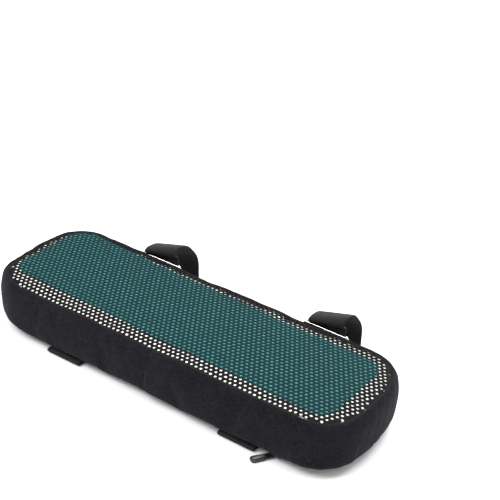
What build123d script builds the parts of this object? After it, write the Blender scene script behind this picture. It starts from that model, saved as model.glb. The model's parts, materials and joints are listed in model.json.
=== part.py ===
from build123d import *
from math import atan2, cos, degrees, radians, sin, sqrt
import os

# Chair armrest pad: a zipped fabric cover over a foam core with a gel sheet, held on by two elastic straps.
# Millimetres. +X runs along the pad to its zipped end, +Y points to the buckle side, +Z is up.
# The origin is the middle of the grip base, at the tips of the grip dots.

# Pad outline: full at its widest, with corners that tuck in further at the base
PAD_LENGTH = 250.0
PAD_WIDTH = 89.2
CORNER_RADIUS = 28.0
END_RADIUS = 130.0
BASE_CORNER_RADIUS = 37.0
BASE_END_RADIUS = 100.0

# Heights of the padded layers
DOT_HEIGHT = 0.6
FABRIC_THICKNESS = 1.0
BASE_Z = DOT_HEIGHT
CORE_BOTTOM_Z = BASE_Z + FABRIC_THICKNESS
CORE_TOP_Z = 27.6
BOXING_TOP_Z = 28.0
MESH_TOP_Z = 28.8
WELT_TOP_Z = 29.1
GEL_THICKNESS = 2.0

# Side boxing and seams, as insets from the widest outline
BOXING_THICKNESS = 1.4
BOXING_EDGE_RADIUS = 3.5
CORE_EDGE_RADIUS = 2.5
TOP_SEAM_INSET = 2.7
TOP_WELT_WIDTH = 1.2
BOTTOM_SEAM_INSET = 2.6
BOTTOM_WELT_WIDTH = 1.0
BOTTOM_WELT_LOW_Z = -0.2

# Gel sheet, set towards the closed end and laid slightly askew
GEL_LENGTH = 226.0
GEL_WIDTH = 69.0
GEL_CENTRE = (-3.0, 1.2)
GEL_TURN = -1.7
GEL_CORNER_RADIUS = 12.0
GEL_EDGE_INSET = 5.5

# Grip dots
DOT_RADIUS = 1.0
DOT_PITCH_X = 14.0
DOT_PITCH_Y = 12.0
DOT_MARGIN = 12.0

# Zipper around the +X end
ZIP_START_X = 76.5
TAPE_WIDTH = 1.0
TAPE_LOW_Z = 0.9
TAPE_HIGH_Z = 1.6
COIL_WIDTH = 1.2
COIL_LOW_Z = 0.5
COIL_HIGH_Z = 2.0
CHAIN_GAP = 1.0
GROOVE_INSET = 9.6
GROOVE_TOP_Z = 4.4
STOP_LENGTH = 2.0
STOP_OFFSET = 1.0

# Slider, in its own frame: X along the chain, Y outwards, Z up
SLIDER_LENGTH = 9.0
SLIDER_LOWER_WIDTH = 7.0
SLIDER_UPPER_WIDTH = 5.6
LOWER_PLATE_Z = (-1.2, -0.3)
UPPER_PLATE_Z = (2.5, 3.4)
SLIDER_LIP = 0.5
SLIDER_LIP_TOP_Z = 0.2
BRIDGE_LENGTH = 2.0
BRIDGE_THICKNESS = 0.5
SLIDER_REST_ANGLE = -93.0

# Pull: a plate with an eye, hung in the bail under the slider, with a moulded grip
PULL_HEADING = -122.0
PULL_LENGTH = 16.0
PULL_WIDTH = 3.8
PULL_THICKNESS = 0.9
CROSSBAR_Z = -1.85
EYE_WIDTH = 2.0
EYE_LENGTH = 3.6
BAIL_WIDTH = 1.0
BAIL_SPAN = 3.2
BAIL_LEG = 0.6
BAIL_LOW_Z = -2.95
BAIL_TOP_OF_BASE_Z = -2.5
GRIP_START = 6.5
GRIP_WIDTH = 5.0
GRIP_THICKNESS = 1.9
GRIP_LOW_Z = -2.95

# Straps and buckles
STRAP_WIDTH = 24.4
STRAP_THICKNESS = 1.3
STRAP_FLOOR_Z = -2.35
STRAP_FOLD_Z = -0.85
STRAP_FOLD_Y = -45.3
STRAP_SEWN_Y = -41.5
HINGE_Y = 44.6
HINGE_GAP = 2.6
TAB_THICKNESS = 1.0
BUCKLE_Y = 49.0
BUCKLE_BAR_Z = (6.5, 15.5, 24.5)
BAR_HEIGHT = 2.6
BAR_DEPTH = 2.2
BUCKLE_INNER_WIDTH = 26.0
BUCKLE_RAIL_WIDTH = 2.5
BUCKLE_EDGE_RADIUS = 0.5

SIDES = {"left": -59.5, "right": 62.5}

# Insets of the zipper's parts, from the boxing inwards
OUTER_COIL_INSET = BOTTOM_SEAM_INSET + TAPE_WIDTH
GAP_INSET = OUTER_COIL_INSET + COIL_WIDTH
INNER_COIL_INSET = GAP_INSET + CHAIN_GAP
INNER_TAPE_INSET = INNER_COIL_INSET + COIL_WIDTH
ZIP_PANEL_INSET = INNER_TAPE_INSET + TAPE_WIDTH
CHAIN_INSET = GAP_INSET + CHAIN_GAP / 2


class Outline:
    """Straight sides, corner arcs and bowed ends, all tangent; every inset shares the arcs' centres."""

    def __init__(self, corner_radius, end_radius):
        self.corner_radius = corner_radius
        self.end_radius = end_radius
        self.end_x = PAD_LENGTH / 2 - end_radius
        self.corner_y = PAD_WIDTH / 2 - corner_radius
        self.corner_x = self.end_x + sqrt((end_radius - corner_radius) ** 2 - self.corner_y**2)
        self.end_half_angle = degrees(atan2(self.corner_y, self.corner_x - self.end_x))

    def face(self, inset):
        """The outline at that inset, as a face."""
        side_y = PAD_WIDTH / 2 - inset
        side = Line((0, side_y), (self.corner_x, side_y))
        corner_centre = (self.corner_x, self.corner_y)
        corner_turn = 90 - self.end_half_angle
        corner = CenterArc(corner_centre, self.corner_radius - inset, self.end_half_angle, corner_turn)
        end = CenterArc((self.end_x, 0), self.end_radius - inset, 0, self.end_half_angle)
        quarter = Curve() + [side, corner, end]
        half = quarter + mirror(quarter, Plane.XZ)
        whole = half + mirror(half, Plane.YZ)
        return make_face(whole.edges())


WIDEST = Outline(CORNER_RADIUS, END_RADIUS)
BASE = Outline(BASE_CORNER_RADIUS, BASE_END_RADIUS)


def slab(inset, low_z, high_z, shape=WIDEST):
    """A block with the pad's outline, between two heights."""
    return extrude(Pos(0, 0, low_z) * shape.face(inset), high_z - low_z)


def ring(outer_inset, inner_inset, low_z, high_z, shape=WIDEST):
    """A band that follows the outline between two insets."""
    return slab(outer_inset, low_z, high_z, shape) - slab(inner_inset, low_z - 1, high_z + 1, shape)


def rounded_block(inset, low_z, high_z, edge_radius):
    """A block with the pad's outline and rounded top and bottom edges."""
    block = slab(inset, low_z, high_z)
    rims = block.faces().sort_by(Axis.Z)[0].edges() + block.faces().sort_by(Axis.Z)[-1].edges()
    return fillet(rims, edge_radius)


def box_between(low, high):
    """A box from its lowest corner to its highest one."""
    size = [h - l for l, h in zip(low, high)]
    middle = [(h + l) / 2 for l, h in zip(low, high)]
    return Pos(*middle) * Box(*size)


def half_space(side_x, above):
    """A block that covers everything on one side of the plane x = side_x."""
    reach = PAD_LENGTH
    if above:
        return box_between((side_x, -reach, -reach), (side_x + 2 * reach, reach, reach))
    return box_between((side_x - 2 * reach, -reach, -reach), (side_x, reach, reach))


def web(points, radii, width, thickness):
    """A flat web of fabric that follows a filleted route in the YZ plane, centred on x = 0."""
    path = FilletPolyline(*[(0, y, z) for y, z in points], radius=radii)
    start = Plane(origin=path @ 0, x_dir=(1, 0, 0), z_dir=path % 0)
    return sweep(start * Rectangle(width, thickness), path=path)


core_blank = rounded_block(BOXING_THICKNESS, CORE_BOTTOM_Z, CORE_TOP_Z, CORE_EDGE_RADIUS)
zip_zone = half_space(ZIP_START_X, True)
plain_zone = half_space(ZIP_START_X, False)


def make_gel():
    """The cooling gel sheet, sunk into the top of the foam."""
    sheet = extrude(RectangleRounded(GEL_LENGTH, GEL_WIDTH, GEL_CORNER_RADIUS), GEL_THICKNESS)
    low_z = CORE_TOP_Z - GEL_THICKNESS
    sheet = Pos(*GEL_CENTRE, low_z) * Rot(0, 0, GEL_TURN) * sheet
    return sheet & slab(GEL_EDGE_INSET, low_z, CORE_TOP_Z)


def make_foam(gel):
    """The foam block, with a pocket for the gel and a groove that clears the zipper's slider."""
    groove = ring(0, GROOVE_INSET, BASE_Z, GROOVE_TOP_Z, BASE) & zip_zone
    return core_blank - gel - groove


def make_boxing():
    """The plush side band, rolled in at both seams, with open rims for the two panels."""
    shell = rounded_block(0, BASE_Z, BOXING_TOP_Z, BOXING_EDGE_RADIUS) - core_blank
    top_rim = slab(TOP_SEAM_INSET, CORE_TOP_Z - BOXING_EDGE_RADIUS, WELT_TOP_Z + 1)
    bottom_rim = slab(BOTTOM_SEAM_INSET, BASE_Z - 1, BASE_Z + BOXING_EDGE_RADIUS, BASE)
    return shell - top_rim - bottom_rim


def make_bottom_panel():
    """The grip panel, narrower beside the zipper."""
    welt_inset = BOTTOM_SEAM_INSET + BOTTOM_WELT_WIDTH
    plain = slab(welt_inset, BASE_Z, CORE_BOTTOM_Z, BASE) & plain_zone
    beside_zip = slab(ZIP_PANEL_INSET, BASE_Z, CORE_BOTTOM_Z, BASE) & zip_zone
    return plain + beside_zip


def make_grip_dots():
    """Silicone dots in staggered rows, between the two straps and beyond them."""
    field = BASE.face(DOT_MARGIN)
    dot = Cylinder(DOT_RADIUS, DOT_HEIGHT, align=(Align.CENTER, Align.CENTER, Align.MIN))
    rows = int(PAD_WIDTH / DOT_PITCH_Y / 2)
    columns = int(PAD_LENGTH / DOT_PITCH_X / 2)
    dots = []
    for row in range(-rows, rows + 1):
        stagger = DOT_PITCH_X / 2 * (row % 2)
        for column in range(-columns, columns + 1):
            x = column * DOT_PITCH_X + stagger
            under_strap = any(abs(x - strap_x) < STRAP_WIDTH / 2 + DOT_RADIUS for strap_x in SIDES.values())
            if not under_strap and field.is_inside((x, row * DOT_PITCH_Y, 0)):
                dots.append(Pos(x, row * DOT_PITCH_Y, 0) * dot)
    return Compound(children=dots)


def make_zip_strip(outer_inset, inner_inset, low_z, high_z, start_x):
    """One tape or coil of the zipper, a U around the end of the pad."""
    return ring(outer_inset, inner_inset, low_z, high_z, BASE) & half_space(start_x, True)


def make_zip_stops():
    """The two metal stops clamped across the chain's ends."""
    start_x = ZIP_START_X + STOP_OFFSET
    low_y = PAD_WIDTH / 2 - INNER_TAPE_INSET
    high_y = PAD_WIDTH / 2 - OUTER_COIL_INSET
    stop = box_between((start_x, low_y, COIL_LOW_Z), (start_x + STOP_LENGTH, high_y, COIL_HIGH_Z))
    return Compound(children=[stop, mirror(stop, Plane.XZ)])


def slider_place():
    """Where the slider's own frame lies at rest, on the corner arc of the chain."""
    chain_radius = BASE.corner_radius - CHAIN_INSET
    angle = radians(SLIDER_REST_ANGLE)
    x = BASE.corner_x + chain_radius * cos(angle)
    y = -BASE.corner_y + chain_radius * sin(angle)
    return Pos(x, y, 0) * Rot(0, 0, SLIDER_REST_ANGLE - 90)


def make_slider():
    """Two plates on a thin bridge, with lips below and a bail for the pull, in the slider's frame."""
    half_length = SLIDER_LENGTH / 2
    half_low = SLIDER_LOWER_WIDTH / 2
    half_up = SLIDER_UPPER_WIDTH / 2
    lower = box_between((-half_length, -half_low, LOWER_PLATE_Z[0]), (half_length, half_low, LOWER_PLATE_Z[1]))
    upper = box_between((-half_length, -half_up, UPPER_PLATE_Z[0]), (half_length, half_up, UPPER_PLATE_Z[1]))
    bridge_low = (-BRIDGE_LENGTH / 2, -BRIDGE_THICKNESS / 2, LOWER_PLATE_Z[1])
    bridge_high = (BRIDGE_LENGTH / 2, BRIDGE_THICKNESS / 2, UPPER_PLATE_Z[0])
    lower = fillet(lower.edges().filter_by(Axis.Z), 2)
    upper = fillet(upper.edges().filter_by(Axis.Z), 2)
    body = lower + upper + box_between(bridge_low, bridge_high)
    for side in (-1, 1):
        edge = side * half_low
        inner = edge - side * SLIDER_LIP
        low = (2 - half_length, min(edge, inner), LOWER_PLATE_Z[1])
        high = (half_length - 2, max(edge, inner), SLIDER_LIP_TOP_Z)
        body += box_between(low, high)
    return body


def make_bail():
    """The arch under the lower plate that the pull's crossbar turns in, along the pull's heading."""
    half_width = BAIL_WIDTH / 2
    half_span = BAIL_SPAN / 2
    base = box_between((-half_span, -half_width, BAIL_LOW_Z), (half_span, half_width, BAIL_TOP_OF_BASE_Z))
    arch = base
    for side in (-1, 1):
        low = (side * half_span - BAIL_LEG / 2, -half_width, BAIL_LOW_Z)
        high = (side * half_span + BAIL_LEG / 2, half_width, LOWER_PLATE_Z[0])
        arch += box_between(low, high)
    return arch


def make_pull():
    """The pull plate with its eye and crossbar; X runs from the crossbar to the tip."""
    half_width = PULL_WIDTH / 2
    plate_end = PULL_LENGTH - GRIP_WIDTH / 2
    half_thickness = PULL_THICKNESS / 2
    plate = box_between(
        (0, -half_width, CROSSBAR_Z - half_thickness), (plate_end, half_width, CROSSBAR_Z + half_thickness)
    )
    eye = box_between((-1, -EYE_WIDTH / 2, CROSSBAR_Z - 1), (EYE_LENGTH, EYE_WIDTH / 2, CROSSBAR_Z + 1))
    crossbar = Pos(0, 0, CROSSBAR_Z) * Rot(90, 0, 0) * Cylinder(half_thickness, PULL_WIDTH)
    return plate - eye + crossbar


def make_pull_grip(pull):
    """The moulded grip over the pull's end, rounded at its tip."""
    straight = PULL_LENGTH - GRIP_WIDTH / 2 - GRIP_START
    body = box_between((0, -GRIP_WIDTH / 2, 0), (straight, GRIP_WIDTH / 2, GRIP_THICKNESS))
    body = fillet(body.edges().filter_by(Axis.Z).sort_by(Axis.X)[:2], 1.2)
    tip = Pos(straight, 0, GRIP_THICKNESS / 2) * Cylinder(GRIP_WIDTH / 2, GRIP_THICKNESS)
    return Pos(GRIP_START, 0, GRIP_LOW_Z) * (body + tip) - pull


def make_strap_under():
    """The strap under the pad, from its folded sewn end to the hinge line at the far edge."""
    points = [
        (STRAP_SEWN_Y, STRAP_FOLD_Z),
        (STRAP_FOLD_Y, STRAP_FOLD_Z),
        (STRAP_FOLD_Y, STRAP_FLOOR_Z),
        (HINGE_Y - HINGE_GAP / 2, STRAP_FLOOR_Z),
    ]
    return web(points, [0.74, 0.74], STRAP_WIDTH, STRAP_THICKNESS)


def make_strap_loop():
    """The free loop: from its tail, through the buckle, over its crown and back along the ground."""
    lower_slot_z = (BUCKLE_BAR_Z[0] + BUCKLE_BAR_Z[1]) / 2
    upper_slot_z = (BUCKLE_BAR_Z[1] + BUCKLE_BAR_Z[2]) / 2
    inside_y = BUCKLE_Y - 2.05
    outside_y = BUCKLE_Y + 2.05
    tail_y = BUCKLE_Y + 3.9
    points = [
        (tail_y, 1.5),
        (tail_y, lower_slot_z),
        (inside_y, lower_slot_z),
        (inside_y, upper_slot_z),
        (outside_y, upper_slot_z),
        (outside_y, 30.5),
        (45.6, 33.6),
        (49.6, 37.9),
        (60.5, 35.4),
        (75.0, 20.5),
        (78.3, STRAP_FLOOR_Z),
        (HINGE_Y + HINGE_GAP / 2, STRAP_FLOOR_Z),
    ]
    radii = [1.2, 1.2, 1.2, 1.2, 2.5, 2.0, 4.5, 20.0, 24.0, 4.5]
    return web(points, radii, STRAP_WIDTH - 0.6, STRAP_THICKNESS)


def make_buckle_tab():
    """The short web from the far seam that wraps the buckle's lowest bar and comes back to itself."""
    wrap = BAR_DEPTH / 2 + 0.3 + TAB_THICKNESS / 2
    top_z = BUCKLE_BAR_Z[0] + BAR_HEIGHT / 2 + 0.3 + TAB_THICKNESS / 2
    inner_y = BUCKLE_Y - wrap
    return_y = inner_y + TAB_THICKNESS + 0.05
    points = [
        (inner_y, 1.0),
        (inner_y, top_z),
        (BUCKLE_Y + wrap, top_z),
        (BUCKLE_Y + wrap, 5.0),
        (return_y, 2.2),
        (return_y, 1.0),
    ]
    return web(points, [1.2, 1.2, 2.0, 2.0], STRAP_WIDTH - 0.6, TAB_THICKNESS)


def make_buckle():
    """The three-bar slide buckle, upright behind the pad."""
    half_inner = BUCKLE_INNER_WIDTH / 2
    low_z = BUCKLE_BAR_Z[0] - BAR_HEIGHT / 2
    high_z = BUCKLE_BAR_Z[-1] + BAR_HEIGHT / 2
    front_y = BUCKLE_Y - BAR_DEPTH / 2
    back_y = BUCKLE_Y + BAR_DEPTH / 2
    half_outer = half_inner + BUCKLE_RAIL_WIDTH
    frame = box_between((-half_outer, front_y, low_z), (half_outer, back_y, high_z))
    frame = fillet(frame.edges().filter_by(Axis.Y), BUCKLE_RAIL_WIDTH)
    for lower_bar, upper_bar in zip(BUCKLE_BAR_Z, BUCKLE_BAR_Z[1:]):
        low = (-half_inner, front_y - 1, lower_bar + BAR_HEIGHT / 2)
        high = (half_inner, back_y + 1, upper_bar - BAR_HEIGHT / 2)
        frame -= box_between(low, high)
    return fillet(frame.edges().filter_by(GeomType.LINE).filter_by(Axis.X), BUCKLE_EDGE_RADIUS)


def build():
    """Every node of the pad, by name."""
    gel = make_gel()
    boxing = make_boxing()
    bottom_welt_inner = BOTTOM_SEAM_INSET + BOTTOM_WELT_WIDTH
    bottom_welt = ring(BOTTOM_SEAM_INSET, bottom_welt_inner, BOTTOM_WELT_LOW_Z, CORE_BOTTOM_Z, BASE)
    bottom_welt = (bottom_welt & plain_zone) - core_blank
    coil_start = ZIP_START_X + STOP_OFFSET + STOP_LENGTH
    place = slider_place()
    pull_turn = Rot(0, 0, PULL_HEADING - SLIDER_REST_ANGLE + 90)
    pull = make_pull()
    nodes = {
        "foam_core": make_foam(gel),
        "gel_sheet": gel,
        "mesh_top_panel": slab(TOP_SEAM_INSET + TOP_WELT_WIDTH, CORE_TOP_Z, MESH_TOP_Z),
        "boxing_plain_half": boxing & half_space(0, False),
        "boxing_zip_half": boxing & half_space(0, True),
        "top_seam_welt": ring(
            TOP_SEAM_INSET, TOP_SEAM_INSET + TOP_WELT_WIDTH, CORE_TOP_Z - 2, WELT_TOP_Z
        ) - core_blank,
        "bottom_seam_welt": bottom_welt,
        "bottom_panel": make_bottom_panel(),
        "grip_dots": make_grip_dots(),
        "zipper_tape_outer": make_zip_strip(
            BOTTOM_SEAM_INSET, OUTER_COIL_INSET, TAPE_LOW_Z, TAPE_HIGH_Z, ZIP_START_X
        ),
        "zipper_tape_inner": make_zip_strip(
            INNER_TAPE_INSET, ZIP_PANEL_INSET, TAPE_LOW_Z, TAPE_HIGH_Z, ZIP_START_X
        ),
        "zipper_coil_outer": make_zip_strip(
            OUTER_COIL_INSET, GAP_INSET, COIL_LOW_Z, COIL_HIGH_Z, coil_start
        ),
        "zipper_coil_inner": make_zip_strip(
            INNER_COIL_INSET, INNER_TAPE_INSET, COIL_LOW_Z, COIL_HIGH_Z, coil_start
        ),
        "zipper_stops": make_zip_stops(),
        "zipper_slider": place * (make_slider() + pull_turn * make_bail()),
        "zipper_pull": place * pull_turn * pull,
        "zipper_pull_grip": place * pull_turn * make_pull_grip(pull),
    }
    for side, strap_x in SIDES.items():
        nodes[f"strap_under_{side}"] = Pos(strap_x, 0, 0) * make_strap_under()
        nodes[f"strap_loop_{side}"] = Pos(strap_x, 0, 0) * make_strap_loop()
        nodes[f"buckle_tab_{side}"] = Pos(strap_x, 0, 0) * make_buckle_tab()
        nodes[f"slide_buckle_{side}"] = Pos(strap_x, 0, 0) * make_buckle()
    return nodes


os.makedirs("parts", exist_ok=True)
for name, shape in build().items():
    export_step(shape, f"parts/{name}.step")
print("slider turns about", round(BASE.corner_x, 4), round(-BASE.corner_y, 4))
print("slider rests at", slider_place().position)
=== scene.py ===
import json
from math import atan2, ceil, cos, pi, radians, sin, sqrt, tan

import bmesh
import bpy
import numpy as np
from mathutils import Matrix, Vector
from mathutils.bvhtree import BVHTree


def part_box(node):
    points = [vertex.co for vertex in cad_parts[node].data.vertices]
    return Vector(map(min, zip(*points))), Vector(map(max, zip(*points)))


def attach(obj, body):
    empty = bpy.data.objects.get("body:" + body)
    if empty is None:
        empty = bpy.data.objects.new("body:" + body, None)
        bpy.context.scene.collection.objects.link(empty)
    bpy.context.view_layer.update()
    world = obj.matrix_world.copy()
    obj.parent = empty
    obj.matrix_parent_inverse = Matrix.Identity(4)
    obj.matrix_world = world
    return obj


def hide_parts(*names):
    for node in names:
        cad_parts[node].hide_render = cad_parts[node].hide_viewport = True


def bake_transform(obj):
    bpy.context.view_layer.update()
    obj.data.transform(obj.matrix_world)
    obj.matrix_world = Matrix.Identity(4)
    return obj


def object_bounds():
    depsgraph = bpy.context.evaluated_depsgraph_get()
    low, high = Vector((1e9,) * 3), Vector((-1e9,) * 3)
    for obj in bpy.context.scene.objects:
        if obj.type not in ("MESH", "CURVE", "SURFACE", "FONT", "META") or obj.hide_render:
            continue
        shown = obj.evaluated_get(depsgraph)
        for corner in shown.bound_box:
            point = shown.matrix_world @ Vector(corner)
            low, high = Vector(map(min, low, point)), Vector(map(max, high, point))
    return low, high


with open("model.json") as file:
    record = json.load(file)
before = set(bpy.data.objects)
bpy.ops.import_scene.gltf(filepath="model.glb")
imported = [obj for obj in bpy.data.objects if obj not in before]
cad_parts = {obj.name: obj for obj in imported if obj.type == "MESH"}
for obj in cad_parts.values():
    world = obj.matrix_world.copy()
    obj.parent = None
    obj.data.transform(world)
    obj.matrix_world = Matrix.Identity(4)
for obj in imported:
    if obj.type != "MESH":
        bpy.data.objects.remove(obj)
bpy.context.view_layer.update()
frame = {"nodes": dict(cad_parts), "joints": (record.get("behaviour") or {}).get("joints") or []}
MM = 0.001
RANDOM = np.random.default_rng(7)

# ---------------- the pad's outline, as in the CAD model
PLAIN_LOW, PLAIN_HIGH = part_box("boxing_plain_half")
HALF_LENGTH = -PLAIN_LOW.x
HALF_WIDTH = PLAIN_HIGH.y
BASE_Z = PLAIN_LOW.z
SEAM_TOP_Z = PLAIN_HIGH.z + 0.4 * MM
TOP_SEAM_INSET = 3.4 * MM
BOTTOM_SEAM_INSET = 3.0 * MM


class Outline:
    """Straight sides, corner arcs and bowed ends, all tangent."""

    def __init__(self, corner_radius, end_radius):
        self.radius = corner_radius
        self.end_radius = end_radius
        self.end_x = HALF_LENGTH - end_radius
        self.corner_y = HALF_WIDTH - corner_radius
        self.corner_x = self.end_x + sqrt((end_radius - corner_radius) ** 2 - self.corner_y**2)
        self.end_angle = atan2(self.corner_y, self.corner_x - self.end_x)
        self.corner_length = corner_radius * (pi / 2 - self.end_angle)
        self.quarter_length = self.corner_x + self.corner_length + end_radius * self.end_angle

    def quarter_point(self, distance):
        """Point and outward normal on the +X +Y quarter, from the middle of the long side."""
        past_side = distance - self.corner_x
        if past_side < 0:
            return (distance, HALF_WIDTH), (0.0, 1.0)
        if past_side < self.corner_length:
            angle = pi / 2 - past_side / self.radius
            centre, radius = (self.corner_x, self.corner_y), self.radius
        else:
            angle = self.end_angle - (past_side - self.corner_length) / self.end_radius
            centre, radius = (self.end_x, 0.0), self.end_radius
        normal = (cos(angle), sin(angle))
        return (centre[0] + radius * normal[0], centre[1] + radius * normal[1]), normal

    def rim(self, per_quarter):
        """Points and outward normals all round, evenly spaced, clockwise from +Y."""
        stations = (np.arange(per_quarter) + 0.5) / per_quarter * self.quarter_length
        quarter = [self.quarter_point(station) for station in stations]
        loops = []
        for values in map(np.array, zip(*quarter)):
            parts = [values, values[::-1] * (1, -1), values * (-1, -1), values[::-1] * (-1, 1)]
            loops.append(np.concatenate(parts))
        return loops

    def inset_and_normal(self, xy):
        """How far inside the outline each point lies, and which way is out."""
        reach = np.abs(xy)
        sign = np.where(xy < 0, -1.0, 1.0)
        from_corner = reach - (self.corner_x, self.corner_y)
        from_end = reach - (self.end_x, 0.0)
        corner_distance = np.hypot(*from_corner.T)
        end_distance = np.hypot(*from_end.T)
        side_inset = HALF_WIDTH - reach[:, 1]
        end_inset = self.end_radius - end_distance
        normal = np.tile((0.0, 1.0), (len(xy), 1))
        at_end = (reach[:, 0] > self.end_x) & (np.arctan2(from_end[:, 1], from_end[:, 0]) < self.end_angle)
        in_corner = (from_corner > 0).all(1) & ~at_end
        inset = np.where(in_corner, self.radius - corner_distance, side_inset)
        normal = np.where(in_corner[:, None], from_corner / corner_distance[:, None], normal)
        nearer_end = at_end & (end_inset < side_inset)
        inset = np.where(nearer_end, end_inset, inset)
        normal = np.where(nearer_end[:, None], from_end / end_distance[:, None], normal)
        return inset, normal * sign


WIDEST = Outline(28 * MM, 130 * MM)
BASE = Outline(37 * MM, 100 * MM)
TUCK_START_X = -55 * MM
TUCK_DEPTH = 6.0 * MM


def tucked(xy, depth=TUCK_DEPTH):
    """Plan points of the base, drawn in towards the closed end."""
    past = np.clip((TUCK_START_X - xy[:, 0]) / (HALF_LENGTH + TUCK_START_X), 0, None)
    moved = xy.copy()
    moved[:, 0] += depth * past**2
    return moved


# ---------------- mesh helpers
def new_mesh(name, vertices, faces):
    """A smooth mesh object from points and faces."""
    mesh = bpy.data.meshes.new(name)
    mesh.from_pydata([tuple(map(float, v)) for v in vertices], [], [tuple(map(int, f)) for f in faces])
    mesh.update()
    obj = bpy.data.objects.new(name, mesh)
    bpy.context.scene.collection.objects.link(obj)
    mesh.polygons.foreach_set("use_smooth", [True] * len(mesh.polygons))
    return obj


def outward(obj):
    """Turns every face of a closed mesh outwards."""
    work = bmesh.new()
    work.from_mesh(obj.data)
    bmesh.ops.recalc_face_normals(work, faces=work.faces)
    work.to_mesh(obj.data)
    work.free()
    return obj


def joint(name):
    """The frame's entry for a joint."""
    return next(entry for entry in frame["joints"] if entry["name"] == name)


def finish_piece(obj, material, replaced=(), body="root"):
    """Material, body and replaced nodes of one piece."""
    obj.data.materials.clear()
    obj.data.materials.append(material)
    if body:
        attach(obj, body)
    if replaced:
        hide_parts(*replaced)


def apply_modifiers(obj):
    """Bakes the modifiers of obj into its mesh."""
    graph = bpy.context.evaluated_depsgraph_get()
    mesh = bpy.data.meshes.new_from_object(obj.evaluated_get(graph))
    obj.modifiers.clear()
    obj.data = mesh


def distance_along(points):
    """Distance of each point from the first, along the line through them."""
    return np.concatenate([[0], np.cumsum(np.linalg.norm(np.diff(points, axis=0), axis=1))])


def grid_faces(rows, columns, closed_columns=True, closed_rows=False):
    """Quads of a grid of rows by columns, whose vertices run row by row."""
    faces = []
    last_row = rows if closed_rows else rows - 1
    last_column = columns if closed_columns else columns - 1
    for row in range(last_row):
        for column in range(last_column):
            a = row * columns + column
            b = row * columns + (column + 1) % columns
            down = (row + 1) % rows * columns - row * columns
            faces.append((a, b, b + down, a + down))
    return faces


SPINE_END_SHARE = 0.12


def end_caps(rows, columns):
    """The first and last ring of a grid, as two faces."""
    return [tuple(range(columns)), tuple(range((rows - 1) * columns, rows * columns))]


def cap_rings(ring_xy, shares):
    """Rings between an outline and the pad's middle line; share 0 is the outline and 1 the line."""
    spine = ring_xy * (1.0, 0.0)
    limit = HALF_LENGTH - HALF_WIDTH
    reach = np.abs(spine[:, 0])
    spine[:, 0] = np.sign(spine[:, 0]) * np.minimum(reach, limit + SPINE_END_SHARE * (reach - limit))
    return [ring_xy * (1 - share) + spine * share for share in shares]


def slab(name, sheet, sheet_faces, count, drop):
    """A closed slab: a sheet, its copy moved by drop, and the strip between their first rings."""
    other = len(sheet)
    points = [*sheet, *(np.add(point, (0, 0, drop)) for point in sheet)]
    faces = sheet_faces + [tuple(v + other for v in face) for face in sheet_faces]
    faces += [(i, (i + 1) % count, other + (i + 1) % count, other + i) for i in range(count)]
    return outward(new_mesh(name, points, faces))


def spine_faces(first, count):
    """Closes the innermost ring across the pad's middle line."""
    faces = []
    half = count // 2
    quarter = count // 4
    for i in range(quarter, quarter + half - 1):
        a = first + i
        b = first + i + 1
        mirror_a = first + (half - 1 - i) % count
        mirror_b = first + (half - 2 - i) % count
        faces.append((a, b, mirror_b, mirror_a))
    return faces


def tube(name, centres, radius, sides=8, closed=False, flatten=1.0):
    """A round tube along a line of points."""
    centres = np.asarray(centres, float)
    if closed:
        ahead = np.roll(centres, -1, 0)
        behind = np.roll(centres, 1, 0)
    else:
        ahead = np.vstack([centres[1:], centres[-1:]])
        behind = np.vstack([centres[:1], centres[:-1]])
    tangent = ahead - behind
    tangent /= np.linalg.norm(tangent, axis=1)[:, None]
    side = np.cross(tangent, (0.0, 0.0, 1.0))
    weak = np.linalg.norm(side, axis=1) < 0.2
    side[weak] = np.cross(tangent[weak], (0.0, 1.0, 0.0))
    side /= np.linalg.norm(side, axis=1)[:, None]
    up = np.cross(side, tangent)
    vertices = []
    for centre, across, above in zip(centres, side, up):
        for step in range(sides):
            angle = 2 * pi * step / sides
            vertices.append(centre + radius * (across * cos(angle) + above * flatten * sin(angle)))
    faces = grid_faces(len(centres), sides, closed_rows=closed)
    if not closed:
        faces += end_caps(len(centres), sides)
    return outward(new_mesh(name, vertices, faces))


# ---------------- materials
def shader_inputs(made):
    """The sockets of a material's principled shader."""
    return made.node_tree.nodes["Principled BSDF"].inputs


def material(name, color, roughness, **shader_values):
    """A material and its principled shader; other values are set on the shader's own sockets."""
    made = bpy.data.materials.new(name)
    made.use_nodes = True
    sockets = shader_inputs(made)
    sockets["Base Color"].default_value = (*color, 1)
    sockets["Roughness"].default_value = roughness
    for socket, value in shader_values.items():
        sockets[socket.replace("_", " ")].default_value = value
    return made


def add(made, kind, **values):
    """A node of that kind, with attributes and, for names of sockets, default values."""
    node = made.node_tree.nodes.new(kind)
    for name, value in values.items():
        if name in node.inputs:
            node.inputs[name].default_value = value
        else:
            setattr(node, name, value)
    return node


def link(made, source, target):
    """Joins two sockets of a material."""
    made.node_tree.links.new(source, target)


def object_coordinates(made):
    """Object coordinates: metres in the shared frame, whatever the piece."""
    return add(made, "ShaderNodeTexCoord").outputs["Object"]


def noise(made, scale, detail=3.0, roughness=0.55):
    """Fractal noise in object coordinates."""
    texture = add(made, "ShaderNodeTexNoise", Scale=scale, Detail=detail, Roughness=roughness)
    link(made, object_coordinates(made), texture.inputs["Vector"])
    return texture.outputs["Fac"]


def two_tone(made, factor, dark, light, low=0.3, high=0.7):
    """Base colour that runs between two tones as a texture does."""
    ramp = add(made, "ShaderNodeValToRGB")
    ramp.color_ramp.elements[0].position = low
    ramp.color_ramp.elements[0].color = (*dark, 1)
    ramp.color_ramp.elements[1].position = high
    ramp.color_ramp.elements[1].color = (*light, 1)
    link(made, factor, ramp.inputs["Fac"])
    link(made, ramp.outputs["Color"], shader_inputs(made)["Base Color"])


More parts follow.
